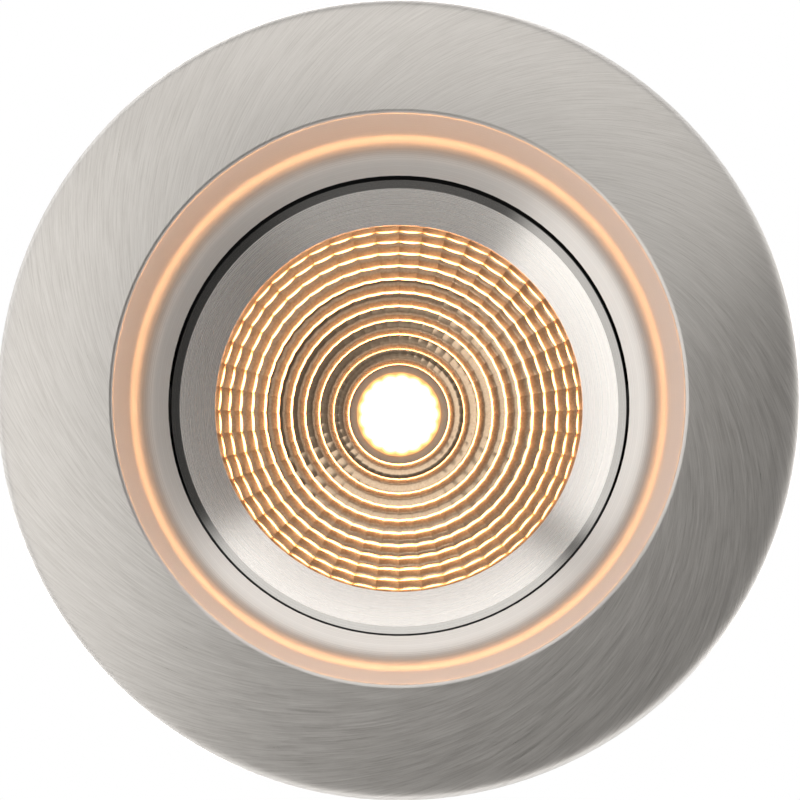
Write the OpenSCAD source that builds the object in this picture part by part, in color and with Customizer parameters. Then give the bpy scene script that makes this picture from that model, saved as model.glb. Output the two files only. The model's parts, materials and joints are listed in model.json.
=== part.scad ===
// Recessed ceiling spotlight: a round trim with a tilting ball head and two folding spring clips.
// Millimetres. The ceiling lies on z = 0, the lamp shines down along -Z and its body stands above.

/* [Trim] */
// Thickness of the flange that shows under the ceiling
flange_t = 2.4; // [1.6:0.1:4]
// Width of the flange outside the neck that enters the ceiling
flange_w = 9.5; // [6:0.25:14]
// Slope of the flange's face next to the dish, in degrees
flange_slope = 2; // [0.5:0.5:3]
// Slope of the flange's face at its outer edge, in degrees
flange_edge_slope = 6; // [3:0.5:7]
// Wall between the neck and the mouth of the dish
neck_wall = 2.8; // [1.8:0.1:3.2]
// Height of the neck's straight side above the flange
neck_h = 4.4; // [3:0.1:6]
// Width of the dish from its mouth to the bore around the head
dish_w = 5.4; // [5:0.1:7]
// Depth of the dish from the face of the flange to the bore
dish_depth = 13.7; // [10:0.1:15]
// Draft of the dish's wall, in degrees from straight in
dish_draft = 10.5; // [9:0.5:16]
// Slope of the dish's floor towards the bore, in degrees
dish_floor_slope = 36; // [30:1:38]
// Rounding between the dish's wall and its floor
dish_fillet = 6.5; // [3:0.1:7]
// Thickness of the dish's floor at the bore
lip_t = 1; // [0.8:0.1:1.6]
// Rounding of the flange's outer edge
edge_round = 0.5; // [0.3:0.05:0.7]
// Rounding of the dish's mouth
mouth_round = 0.45; // [0.2:0.05:0.6]
// Width of the flat ring on the trim's back
land_w = 4.4; // [3.5:0.1:5]

/* [Gasket] */
// Thickness of the foam gasket on the flange's back
gasket_t = 0.8; // [0.5:0.1:2]
// Distance of the gasket from the neck and from the flange's edge
gasket_inset = 1; // [0.9:0.1:1.5]

/* [Ball head] */
// Radius of the light's opening
light_r = 20; // [18.5:0.1:21.5]
// Width of the ledge behind the opening that the glass rests on
seat_ledge = 2.5; // [2.2:0.1:2.8]
// Wall of the ball between the glass's bore and the trim
ball_wall = 2.4; // [2.2:0.1:3]
// Running gap between the ball and the trim
ball_gap = 0.6; // [0.35:0.05:0.7]
// Height of the tilt axis above the trim's flat back
pivot_rise = 4.4; // [3.6:0.1:5]
// Distance of the ball's front edge before the tilt axis
ball_front = 3.1; // [3:0.1:3.6]
// Distance of the ring's back face behind the tilt axis
ball_back = 6.6; // [6:0.1:8]
// Width of the bevel at the ring's front edge
bevel_w = 0.9; // [0.6:0.1:1.2]
// Depth of that bevel
bevel_h = 0.5; // [0.3:0.1:0.8]
// Depth of the turned funnel behind the bevel
funnel_h = 2.6; // [2:0.1:3]
// Thickness of the ring's lip around the light's opening
mouth_lip_t = 0.8; // [0.6:0.1:1.2]
// Radius of the ring's two trunnions
trunnion_r = 1.6; // [1.2:0.1:2]
// Depth of the spot-face around each trunnion
spot_depth = 0.4; // [0.3:0.1:0.8]
// Outer radius of the friction washers
washer_r = 2.6; // [2.4:0.1:2.7]

/* [Glass and reflector] */
// Thickness of the silicone seal in front of the glass
seal_t = 0.6; // [0.4:0.1:1]
// Thickness of the cover glass
glass_t = 1.8; // [1.5:0.1:2.5]
// Depth of the reflector from its rim to its hole
reflector_depth = 12.8; // [11:0.1:15]
// How far the reflector's bright inside reaches out behind the light's opening
reflector_over = 0.4; // [0.2:0.05:0.6]
// Distance of the reflector's hole from the glowing disc
hole_margin = 0.85; // [0.5:0.05:1.2]
// Wall of the reflector
reflector_wall = 0.9; // [0.6:0.05:1]
// Thickness of the reflector's rim
rim_t = 1.2; // [0.8:0.1:1.6]
// How far each facet of the reflector bulges
facet_bulge = 0.12; // [0.05:0.01:0.2]
// Number of facets around the reflector
facet_columns = 48; // [24:2:60]
// Number of facet rows from rim to hole
facet_rows = 11; // [6:1:14]

/* [Light source] */
// Radius of the glowing disc
phosphor_r = 4.65; // [4:0.05:4.8]
// Thickness of the glowing disc
phosphor_t = 0.3; // [0.2:0.05:0.4]
// Width of the board's edge outside the glowing disc
board_edge = 2.05; // [1.5:0.05:2.5]
// Thickness of that board
board_t = 1; // [0.8:0.1:1.5]
// Gap between the reflector's hole and the board
board_gap = 0.5; // [0.45:0.05:0.8]
// Thickness of the heat pad behind the board
pad_t = 0.3; // [0.2:0.05:0.5]
// Thickness of the holder in front of the board
holder_front = 1.7; // [1.4:0.1:2]

/* [Housing and heat sink] */
// How much slimmer the housing and the heat sink are than the ball
body_step = 1.5; // [1.3:0.05:1.6]
// Wall of the lamp housing
housing_wall = 1.2; // [1:0.05:1.3]
// Width of the lane around the board's holder, where the housing's screws stand
screw_lane = 6.5; // [6.3:0.1:6.8]
// Thickness of the housing's floor
floor_t = 2.8; // [2.4:0.1:3.5]
// Thickness of the heat sink's plate
sink_plate_t = 3; // [2.8:0.1:5]
// Height of the heat sink's fins
fin_h = 26; // [16:0.5:36]
// Thickness of each fin
fin_t = 1.1; // [0.8:0.05:1.6]
// Number of fins around the core
fin_count = 26; // [12:2:32]
// Radius of the heat sink's core
core_r = 9.5; // [7:0.25:11]
// Bevel at the fins' outer top corner
fin_bevel = 1.6; // [0.5:0.1:3]
// Radius of the cable's way through the grommet
cable_r = 1.9; // [1.5:0.1:2]

/* [Brackets] */
// Gap between the ball and the bracket's web
web_gap = 1.1; // [1:0.1:1.5]
// Thickness of the bracket's sheet
web_t = 1.2; // [1:0.1:1.5]
// Half the width of the bracket's foot
foot_half_w = 11.4; // [11:0.1:11.8]
// Half the width of the web between the cheeks, outside
cheek_half_w = 6.5; // [6.3:0.1:6.7]
// Thickness of the cheeks
cheek_t = 1; // [0.8:0.1:1.2]
// Height of the clip's pin above the tilt axis
clip_rise = 14.6; // [14.5:0.1:17]

/* [Clips] */
// Distance of the clip's pin from the web
pin_off = 2.6; // [2.5:0.05:2.8]
// Radius of the clip's pin
pin_r = 1.2; // [1:0.05:1.3]
// Height above the ceiling at which the resting arm ends
arm_tip_h = 3.7; // [3.5:0.1:8]
// Thickness of the arm's sheet
arm_t = 1; // [0.8:0.05:1.2]
// Slope of the resting arm from straight down, in degrees
arm_slope = 24; // [20:1:27]
// Length of the rubber sleeve on the arm's end
sleeve_len = 9; // [7:0.5:11]
// Wall of the rubber sleeve
sleeve_wall = 0.8; // [0.6:0.05:0.9]
// Thickness of the spring's wire
wire_d = 0.8; // [0.6:0.05:0.85]
// Gap between the spring's turns
turn_gap = 0.45; // [0.42:0.01:0.48]
// Number of full turns in each spring
spring_turns = 5; // [3:1:5]

/* [Screws] */
// Radius of the small screws' shanks
small_screw_r = 1.25; // [1:0.05:1.3]
// Radius of the small screws' heads
small_head_r = 1.9; // [1.8:0.05:2]
// Radius of the housing screws' shanks
big_screw_r = 1.5; // [1.2:0.05:1.6]
// Radius of the housing screws' heads
big_head_r = 2.5; // [2.3:0.05:2.6]
// Height of the screws' heads
head_h = 1.2; // [1:0.1:1.6]

/* [Hidden] */
$fn = 96;

// One overrun serves every cut
cut = 1;
// Running fit of a shaft in its bearing hole
shaft_fit = 0.07;
// Clearance around a piece that is held still
seat_fit = 0.1;
// Clearance around a screw in its threaded hole
thread_fit = 0.05;
// Side play of everything that turns
side_play = 0.3;
// Clearance hole around a screw
hole_fit = 0.15;

// Radii that follow from the light's opening
seat_r = light_r + seat_ledge;
ball_r = seat_r + ball_wall;
body_r = ball_r - body_step;
holder_r = body_r - housing_wall - screw_lane;
reflector_r = light_r + reflector_over;
hole_r = phosphor_r + hole_margin;
board_side = 2 * (phosphor_r + board_edge);

// Heights, from the visible face upwards
face_z = -gasket_t - flange_t;
lip_z = face_z + dish_depth;
land_z = lip_z + lip_t;
pivot_z = land_z + pivot_rise;
ring_front_z = pivot_z - ball_front;
light_z = ring_front_z + bevel_h + funnel_h;
seal_z = light_z + mouth_lip_t;
glass_z = seal_z + seal_t;
rim_z = glass_z + glass_t;
ring_back_z = pivot_z + ball_back;
hole_z = rim_z + reflector_depth;
board_z = hole_z + board_gap;
pad_z = board_z + board_t;
sink_z = pad_z + pad_t;
floor_z = sink_z - floor_t;
holder_z = board_z - holder_front;
fins_z = sink_z + sink_plate_t;
clip_z = pivot_z + clip_rise;

// Radii, from the ball outwards
socket_r = ball_r + ball_gap;
lip_r = sqrt(socket_r * socket_r - (pivot_z - lip_z) * (pivot_z - lip_z));
mouth_r = lip_r + dish_w;
neck_r = mouth_r + neck_wall;
trim_r = neck_r + flange_w;
front_r = sqrt(ball_r * ball_r - ball_front * ball_front);

// The flange's face falls away from the mouth to the edge, ever steeper
face_start = mouth_r + mouth_round;
face_w = trim_r - edge_round - face_start;
face_steps = 16;

// The dish's wall starts where the mouth's rounding ends and meets the floor's line at the corner
wall_start_r = mouth_r + mouth_round * (1 - cos(dish_draft));
wall_start_z = face_z + mouth_round * (1 - sin(dish_draft));
corner_r = (wall_start_r / tan(dish_draft) - lip_z + wall_start_z - lip_r * tan(dish_floor_slope))
    / (1 / tan(dish_draft) - tan(dish_floor_slope));
dish_turn = 90 - dish_draft - dish_floor_slope;
// The fillet ends outside the bore
fillet_r = min(dish_fillet, (corner_r - lip_r) / cos(dish_floor_slope) / tan(dish_turn / 2));
fillet_len = fillet_r * tan(dish_turn / 2);
fillet_end_r = corner_r - fillet_len * cos(dish_floor_slope);
fillet_steps = 20;

// Sideways places of the brackets, pins and arms
web_x = ball_r + web_gap;
web_out_x = web_x + web_t;
pin_x = web_out_x + pin_off;
foot_inset = 0.8;
foot_r = neck_r - foot_inset;
pad_half_w = foot_half_w + seat_fit;
foot_gap_half_w = 5.4;
neck_taper_h = 1.6;
// The web stands above the pin, where the spring's fixed leg bears on it
web_top = 7.4;
web_taper_z = 5.2;
web_taper_h = 5;
cheek_drop = 8;
cheek_round = 2.4;
ear_round = 2.2;
ear_t = 1;
ear_len = 9;
ear_half_w = cheek_half_w - cheek_t - side_play;
arm_len = (clip_z - arm_tip_h) / cos(arm_slope);
arm_taper_half_w = 4;
stop_drop = 7.6;
stop_half_w = 3.4;
// The tab ends against the arm's inner face
stop_reach = (stop_drop * sin(arm_slope) - arm_t / 2 - side_play) / cos(arm_slope);
pin_head_r = 2;
pin_head_t = 0.8;
trunnion_root = 1.2;
retainer_r = 3.2;
retainer_t = 0.6;
trunnion_end = 0.7;

// Screws of the brackets
bracket_screw_x = web_out_x + small_head_r + 2 * seat_fit;
bracket_screw_y = foot_gap_half_w + small_head_r + side_play;
bracket_thread = 2.2;

// Screws, holes and grommet of the head
housing_screw_r = (body_r - housing_wall + holder_r + seat_fit) / 2;
housing_thread = 2.2;
holder_thread = 2.6;
holder_sink = 0.8;
holder_cone_gap = 0.8;
holder_cone_r = bowl_r(holder_z - rim_z) + reflector_wall + holder_cone_gap;
holder_hole_r = hole_r + reflector_wall + holder_cone_gap;
holder_screw_r = (holder_cone_r + holder_r) / 2;
grommet_waist = 0.8;
grommet_flange = 1.1;
grommet_top_t = 1.4;
grommet_low_t = 2;
grommet_low_r = cable_r + grommet_waist + grommet_flange / 2;
grommet_at = holder_r + seat_fit + grommet_low_r;
slot_half_w = cable_r + grommet_waist + grommet_flange + side_play;
slot_room = 2.2;
slot_start = grommet_at - slot_half_w - slot_room;
groove_w = 1;
groove_depth = 0.5;
groove_pitch = 2.4;
groove_count = 3;
glass_bevel = 0.25;

// Reflector facets: the rows widen a little towards the hole
row_power_share = 1.12;
rim_r = seat_r - seat_fit;

// Springs: straight leg on the web, turns around the pin, second leg over the arm
coil_r = pin_off - wire_d / 2 - seat_fit;
turn_pitch = wire_d + turn_gap;
coil_rings = 8;
coil_sides = 6;
fixed_leg = 6.6;
arm_leg_start = 4.6;
arm_leg_end = 9.4;
// The arm's sheet starts behind the place where the leg passes over to its outer face
arm_start = arm_leg_start + wire_d / 2 + 2 * seat_fit;

// Height of the flange's face at a share of its width
function face_h(share) = face_z + face_w * (share * tan(flange_slope)
    + share * share * (tan(flange_edge_slope) - tan(flange_slope)) / 2);

// Height of the dish's floor at a radius
function floor_h(r) = lip_z - (r - lip_r) * tan(dish_floor_slope);

// Points of an arc around a centre, from one angle to another
function arc(centre, r, from, to, steps) = [
    for (i = [0:steps])
        let (a = from + (to - from) * i / steps)
            centre + r * [cos(a), sin(a)]
];

// Inner radius of the reflector at a height behind its rim, a paraboloid
function bowl_r(h) = sqrt(hole_r * hole_r
    + (reflector_r * reflector_r - hole_r * hole_r) * (1 - h / reflector_depth));

// Radius of a facet row's edge, and the height at which the bowl has that radius
function row_r(i) = reflector_r - (reflector_r - hole_r) * pow(i / facet_rows, row_power_share);
function row_h(i) = reflector_depth * (reflector_r * reflector_r - row_r(i) * row_r(i))
    / (reflector_r * reflector_r - hole_r * hole_r);

// Angle between the bowl's wall and its axis at a radius
function wall_angle(r) = atan((reflector_r * reflector_r - hole_r * hole_r) / (2 * reflector_depth * r));

// Rings of a tube that follows a path, each square to the path
function unit(v) = v / norm(v);
function heading(path, i) = unit(path[min(i + 1, len(path) - 1)] - path[max(i - 1, 0)]);
function tube_points(path, r, sides) = [
    for (i = [0:len(path) - 1])
        let (along = heading(path, i), across = unit(cross([0, 1, 0], along)), up = cross(along, across))
            for (k = [0:sides - 1]) path[i] + r * (cos(360 * k / sides) * across + sin(360 * k / sides) * up)
];
function tube_faces(rings, sides) = concat(
    [for (i = [0:rings - 2]) for (k = [0:sides - 1])
        [i * sides + k, i * sides + (k + 1) % sides, (i + 1) * sides + k]],
    [for (i = [0:rings - 2]) for (k = [0:sides - 1])
        [i * sides + (k + 1) % sides, (i + 1) * sides + (k + 1) % sides, (i + 1) * sides + k]],
    [for (k = [1:sides - 2]) [0, k + 1, k]],
    [for (k = [1:sides - 2]) [(rings - 1) * sides, (rings - 1) * sides + k, (rings - 1) * sides + k + 1]]
);

// The spring's path in the frame of the right-hand clip's pin, x outwards, z up
arm_dir = [sin(arm_slope), 0, -cos(arm_slope)];
arm_out = [cos(arm_slope), 0, sin(arm_slope)];
leg_lift = arm_t / 2 + wire_d / 2 + seat_fit;
leg_bend = arm_leg_start * arm_dir + leg_lift * arm_out;
leg_turn = atan2(leg_lift, arm_leg_start) + asin(coil_r / norm([arm_leg_start, leg_lift]));
coil_end_a = 180 + 360 * spring_turns + arm_slope + leg_turn;
coil_len = turn_pitch * (coil_end_a - 180) / 360;
coil_steps = ceil(coil_rings * (coil_end_a - 180) / 360);
function coil_point(i) =
    let (a = 180 + (coil_end_a - 180) * i / coil_steps)
        [coil_r * cos(a), -coil_len / 2 + coil_len * i / coil_steps, coil_r * sin(a)];
leg_end = arm_leg_end * arm_dir + leg_lift * arm_out;
spring_path = concat(
    [[-coil_r, -coil_len / 2, fixed_leg], [-coil_r, -coil_len / 2, fixed_leg / 2]],
    [for (i = [0:coil_steps]) coil_point(i)],
    [[leg_bend.x, coil_len / 2, leg_bend.z], [leg_end.x, coil_len / 2, leg_end.z]]
);

// Least gap of a spring to itself, measured between path points more than half a turn apart
spring_gap = min([
    for (i = [0:len(spring_path) - 1])
        for (j = [i + coil_rings / 2:1:len(spring_path) - 1])
            norm(spring_path[i] - spring_path[j])
]) - wire_d;
echo(least_gap_of_each_spring_to_itself = spring_gap);
echo(trim_diameter = 2 * trim_r, neck_diameter = 2 * neck_r, depth = fins_z + fin_h - face_z);

// Places a right-hand piece in the clip's frame: x outwards, z up, the pin's axis along y
module at_clip(side) {
    mirror([side < 0 ? 1 : 0, 0, 0])
        translate([pin_x, 0, clip_z])
            children();
}

// Turns the frame so that x runs along the resting arm and z out of its face
module along_arm() {
    rotate([0, 90 - arm_slope, 0])
        children();
}

// A plate whose outline is drawn with x outwards and y up, standing across y
module upright(t) {
    rotate([90, 0, 0])
        translate([0, 0, -t / 2])
            linear_extrude(t)
                children();
}

// A screw with its head's underside at z = 0 and its shank below, and a cross recess
module screw(shank_r, head_r, shank_len) {
    recess_w = shank_r / 2;
    difference() {
        union() {
            translate([0, 0, -shank_len])
                cylinder(h = shank_len, r = shank_r);
            cylinder(h = head_h / 2, r = head_r);
            translate([0, 0, head_h / 2])
                cylinder(h = head_h / 2, r1 = head_r, r2 = head_r - head_h / 4);
        }
        for (a = [0, 90])
            rotate([0, 0, a])
                translate([-head_r / 2, -recess_w / 2, head_h / 2])
                    cube([head_r, recess_w, head_h]);
    }
}

// Hollow of the dish: rounded mouth, wall with draft, fillet, and a floor that runs on past the bore
module dish_hollow() {
    fillet_centre = [fillet_end_r, floor_h(fillet_end_r)]
        - fillet_r * [sin(dish_floor_slope), cos(dish_floor_slope)];
    rotate_extrude()
        polygon(concat(
            [[0, face_z - cut], [mouth_r + mouth_round, face_z - cut]],
            arc([mouth_r + mouth_round, face_z + mouth_round], mouth_round, 270, 180 + dish_draft, 5),
            arc(fillet_centre, fillet_r, dish_draft, 90 - dish_floor_slope, fillet_steps),
            [[lip_r - cut, floor_h(lip_r - cut)], [0, floor_h(lip_r - cut)]]
        ));
}

// Trim: flange, dish and neck turned in one piece, with two pads for the brackets
module trim_ring() {
    color("silver")
        difference() {
            union() {
                rotate_extrude()
                    polygon(concat(
                        [[lip_r - 2 * cut, face_z]],
                        [for (i = [0:face_steps])
                            [face_start + face_w * i / face_steps, face_h(i / face_steps)]],
                        arc([trim_r - edge_round, face_h(1) + edge_round], edge_round, 285, 360, 5),
                        [[trim_r, -gasket_t], [neck_r, -gasket_t], [neck_r, neck_h - gasket_t],
                         [lip_r + land_w + neck_taper_h, land_z - neck_taper_h], [lip_r + land_w, land_z],
                         [lip_r - 2 * cut, land_z]]
                    ));
                for (side = [-1, 1])
                    intersection() {
                        translate([0, 0, neck_h - gasket_t - cut])
                            cylinder(h = land_z - neck_h + gasket_t + cut, r = foot_r);
                        translate([side > 0 ? lip_r + lip_t : -foot_r - cut, -pad_half_w, 0])
                            cube([foot_r + cut - lip_r - lip_t, 2 * pad_half_w, land_z]);
                    }
            }
            dish_hollow();
            translate([0, 0, pivot_z])
                sphere(socket_r);
            for (x = [-bracket_screw_x, bracket_screw_x])
                for (y = [-bracket_screw_y, bracket_screw_y])
                    translate([x, y, land_z - bracket_thread])
                        cylinder(h = bracket_thread + cut, r = small_screw_r + thread_fit);
        }
}

// Foam ring between the flange and the ceiling
module ceiling_gasket() {
    color("dimgray")
        translate([0, 0, -gasket_t])
            difference() {
                cylinder(h = gasket_t, r = trim_r - gasket_inset);
                translate([0, 0, -cut])
                    cylinder(h = gasket_t + 2 * cut, r = neck_r + gasket_inset);
            }
}

// Sheet bracket that carries the head's trunnion below and the spring clip above
module side_bracket(side) {
    color("lightsteelblue")
        mirror([side < 0 ? 1 : 0, 0, 0])
            difference() {
                union() {
                    // Web with its wide foot
                    translate([web_x, 0, 0])
                        rotate([90, 0, 90])
                            linear_extrude(web_t)
                                polygon([
                                    [-foot_half_w, land_z], [foot_half_w, land_z],
                                    [foot_half_w, land_z + web_taper_z],
                                    [cheek_half_w, land_z + web_taper_z + web_taper_h],
                                    [cheek_half_w, clip_z + web_top], [-cheek_half_w, clip_z + web_top],
                                    [-cheek_half_w, land_z + web_taper_z + web_taper_h],
                                    [-foot_half_w, land_z + web_taper_z]
                                ]);
                    // Two foot tabs on the trim's pads
                    intersection() {
                        translate([0, 0, land_z])
                            cylinder(h = web_t, r = foot_r);
                        for (y = [-foot_half_w, foot_gap_half_w])
                            translate([web_x, y, land_z])
                                cube([foot_r, foot_half_w - foot_gap_half_w, web_t]);
                    }
                    // Cheeks that hold the clip's pin
                    for (y = [-1, 1])
                        translate([0, y * (cheek_half_w - cheek_t / 2), 0])
                            upright(cheek_t)
                                union() {
                                    translate([pin_x, clip_z])
                                        circle(cheek_round, $fn = 48);
                                    polygon([
                                        [web_x, clip_z - cheek_drop], [web_out_x, clip_z - cheek_drop],
                                        [pin_x + cheek_round * cos(-30), clip_z + cheek_round * sin(-30)],
                                        [pin_x + cheek_round * cos(60), clip_z + cheek_round * sin(60)],
                                        [web_out_x, clip_z + web_top - web_t],
                                        [web_x, clip_z + web_top - web_t]
                                    ]);
                                }
                    // Bent tab that stops the arm
                    translate([web_x, -stop_half_w, clip_z - stop_drop - web_t])
                        cube([pin_x - web_x + stop_reach, 2 * stop_half_w, web_t]);
                }
                // Bearing hole of the trunnion
                translate([web_x - cut, 0, pivot_z])
                    rotate([0, 90, 0])
                        cylinder(h = web_t + 2 * cut, r = trunnion_r + shaft_fit);
                // Holes of the clip's pin
                translate([pin_x, 0, clip_z])
                    rotate([90, 0, 0])
                        cylinder(h = 2 * cheek_half_w + 2 * cut, r = pin_r + thread_fit, center = true);
                // Screw holes in the foot
                for (y = [-bracket_screw_y, bracket_screw_y])
                    translate([bracket_screw_x, y, land_z - cut])
                        cylinder(h = web_t + 2 * cut, r = small_screw_r + hole_fit);
            }
}

// Four screws that hold the brackets down on the trim
module bracket_screws() {
    color("gainsboro")
        for (x = [-bracket_screw_x, bracket_screw_x])
            for (y = [-bracket_screw_y, bracket_screw_y])
                translate([x, y, land_z + web_t])
                    screw(small_screw_r, small_head_r, web_t + bracket_thread);
}

// Riveted pin through the cheeks
module clip_pin(side) {
    color("gainsboro")
        at_clip(side)
            rotate([90, 0, 0])
                union() {
                    cylinder(h = 2 * cheek_half_w, r = pin_r, center = true);
                    for (y = [-1, 1])
                        translate([0, 0, y * (cheek_half_w + pin_head_t / 2)])
                            cylinder(h = pin_head_t, r = pin_head_r, center = true);
                }
}

// Torsion spring: one unbroken wire
module clip_spring(side) {
    color("darkgray")
        at_clip(side)
            polyhedron(
                points = tube_points(spring_path, wire_d / 2, coil_sides),
                faces = tube_faces(len(spring_path), coil_sides)
            );
}

// Sheet arm with two ears around the pin
module clip_arm(side) {
    color("lightsteelblue")
        at_clip(side)
            along_arm()
                difference() {
                    union() {
                        translate([0, 0, -arm_t / 2])
                            linear_extrude(arm_t)
                                polygon([
                                    [arm_start, -ear_half_w], [ear_len, -ear_half_w],
                                    [arm_len - sleeve_len, -arm_taper_half_w],
                                    [arm_len - sleeve_wall, -arm_taper_half_w],
                                    [arm_len - sleeve_wall, arm_taper_half_w],
                                    [arm_len - sleeve_len, arm_taper_half_w],
                                    [ear_len, ear_half_w], [arm_start, ear_half_w]
                                ]);
                        for (y = [-1, 1])
                            translate([0, y * (ear_half_w - ear_t / 2), 0])
                                upright(ear_t)
                                    union() {
                                        circle(ear_round, $fn = 48);
                                        polygon([
                                            [0, ear_round], [0, -ear_round],
                                            [ear_len, -arm_t / 2], [ear_len, arm_t / 2]
                                        ]);
                                    }
                    }
                    rotate([90, 0, 0])
                        cylinder(h = 2 * ear_half_w + 2 * cut, r = pin_r + shaft_fit, center = true);
                }
}

// Rubber sleeve on the arm's end, rounded across its tip
module clip_sleeve(side) {
    sleeve_half_w = arm_taper_half_w + sleeve_wall;
    sleeve_round = arm_t / 2 + sleeve_wall;
    pocket_half_w = arm_taper_half_w + thread_fit;
    color("black")
        at_clip(side)
            along_arm()
                difference() {
                    union() {
                        translate([arm_len - sleeve_len, -sleeve_half_w, -sleeve_round])
                            cube([sleeve_len - sleeve_round, 2 * sleeve_half_w, 2 * sleeve_round]);
                        translate([arm_len - sleeve_round, 0, 0])
                            rotate([90, 0, 0])
                                cylinder(h = 2 * sleeve_half_w, r = sleeve_round, center = true, $fn = 32);
                    }
                    translate([arm_len - sleeve_len - cut, -pocket_half_w, -arm_t / 2 - thread_fit])
                        cube([
                            sleeve_len + cut - sleeve_wall + thread_fit,
                            2 * pocket_half_w, arm_t + 2 * thread_fit
                        ]);
                }
}

// Ball ring: bevel, turned funnel, glass seat and two trunnions
module head_ring() {
    slope = bevel_h / bevel_w;
    color("silver")
        difference() {
            union() {
                intersection() {
                    rotate_extrude()
                        polygon([
                            [front_r + cut, ring_front_z - slope * cut],
                            [front_r + 2 * cut, ring_front_z - slope * cut], [front_r + 2 * cut, ring_back_z],
                            [seat_r, ring_back_z], [seat_r, seal_z], [light_r, seal_z], [light_r, light_z],
                            [front_r - bevel_w, ring_front_z + bevel_h]
                        ]);
                    translate([0, 0, pivot_z])
                        sphere(ball_r);
                    // Spot-faces that the friction washers lie on
                    difference() {
                        translate([0, 0, pivot_z])
                            cube(2 * ball_r + 2 * cut, center = true);
                        for (side = [-1, 1])
                            translate([side * (ball_r - spot_depth + cut), 0, pivot_z])
                                rotate([0, 90, 0])
                                    cylinder(h = 2 * cut, r = washer_r + side_play, center = true);
                    }
                }
                for (side = [0, 180])
                    rotate([0, 0, side])
                        translate([seat_r + (ball_r - seat_r) / 4, 0, pivot_z])
                            rotate([0, 90, 0])
                                cylinder(
                                    h = web_out_x + side_play + retainer_t + trunnion_end
                                        - seat_r - (ball_r - seat_r) / 4,
                                    r = trunnion_r
                                );
            }
        }
}

// Washers between the ring and the brackets, which brake the tilt
module friction_washers() {
    color("dimgray")
        for (side = [0, 180])
            rotate([0, 0, side])
                translate([ball_r - spot_depth, 0, pivot_z])
                    rotate([0, 90, 0])
                        difference() {
                            cylinder(h = web_x - side_play - ball_r + spot_depth, r = washer_r);
                            translate([0, 0, -cut])
                                cylinder(h = web_gap + spot_depth + 2 * cut, r = trunnion_r + seat_fit);
                        }
}

// Push-on rings that keep the trunnions in the brackets
module retaining_rings() {
    color("gainsboro")
        for (side = [0, 180])
            rotate([0, 0, side])
                translate([web_out_x + side_play, 0, pivot_z])
                    rotate([0, 90, 0])
                        difference() {
                            cylinder(h = retainer_t, r = retainer_r);
                            translate([0, 0, -cut])
                                cylinder(h = retainer_t + 2 * cut, r = trunnion_r + thread_fit);
                        }
}

// Flat silicone ring in front of the glass
module glass_seal() {
    color("whitesmoke")
        translate([0, 0, seal_z])
            difference() {
                cylinder(h = seal_t, r = seat_r - seat_fit);
                translate([0, 0, -cut])
                    cylinder(h = seal_t + 2 * cut, r = light_r + side_play);
            }
}

// Clear cover glass with ground edges
module cover_glass() {
    glass_r = seat_r - seat_fit;
    color("lightcyan", 0.3)
        rotate_extrude()
            polygon([
                [0, glass_z], [glass_r - glass_bevel, glass_z], [glass_r, glass_z + glass_bevel],
                [glass_r, rim_z - glass_bevel], [glass_r - glass_bevel, rim_z], [0, rim_z]
            ]);
}

// Faceted bowl: every facet is a low pillow of four triangles that meet at its raised middle
module reflector() {
    n = facet_columns;
    edge = [for (i = [0:facet_rows]) for (k = [0:n - 1])
        [row_r(i) * cos(360 * k / n), row_r(i) * sin(360 * k / n), rim_z + row_h(i)]];
    middle = [for (i = [0:facet_rows - 1]) for (k = [0:n - 1])
        let (
            r = (row_r(i) + row_r(i + 1)) / 2 * cos(180 / n),
            h = (row_h(i) + row_h(i + 1)) / 2,
            a = 360 * (k + 1 / 2) / n,
            w = wall_angle(r)
        )
            [(r - facet_bulge * cos(w)) * cos(a), (r - facet_bulge * cos(w)) * sin(a),
             rim_z + h - facet_bulge * sin(w)]];
    back_steps = 5;
    // The outer side follows the bowl behind the rim
    back = concat(
        [[rim_r, rim_z], [rim_r, rim_z + rim_t]],
        [for (i = [0:back_steps])
            let (h = rim_t + (reflector_depth - rim_t) * i / back_steps)
                [bowl_r(h) + reflector_wall, rim_z + h]]
    );
    rows = len(back);
    outside = [for (p = back) for (k = [0:n - 1])
        [p.x * cos(360 * k / n), p.x * sin(360 * k / n), p.y]];
    m = len(edge);
    o = m + len(middle);
    facets = [for (i = [0:facet_rows - 1]) for (k = [0:n - 1])
        let (a = i * n + k, b = i * n + (k + 1) % n, c = m + i * n + k)
            each [[a, b, c], [b, b + n, c], [b + n, a + n, c], [a + n, a, c]]];
    skin = [for (i = [0:rows - 2]) for (k = [0:n - 1])
        let (a = o + i * n + k, b = o + i * n + (k + 1) % n)
            each [[a, a + n, b], [b, a + n, b + n]]];
    front = [for (k = [0:n - 1])
        let (a = k, b = (k + 1) % n)
            each [[a, o + a, b], [b, o + a, o + b]]];
    last = facet_rows * n;
    low = o + (rows - 1) * n;
    end = [for (k = [0:n - 1])
        let (a = k, b = (k + 1) % n)
            each [[last + a, last + b, low + a], [last + b, low + b, low + a]]];
    color("lightgray")
        polyhedron(points = concat(edge, middle, outside), faces = concat(facets, skin, front, end));
}

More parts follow.
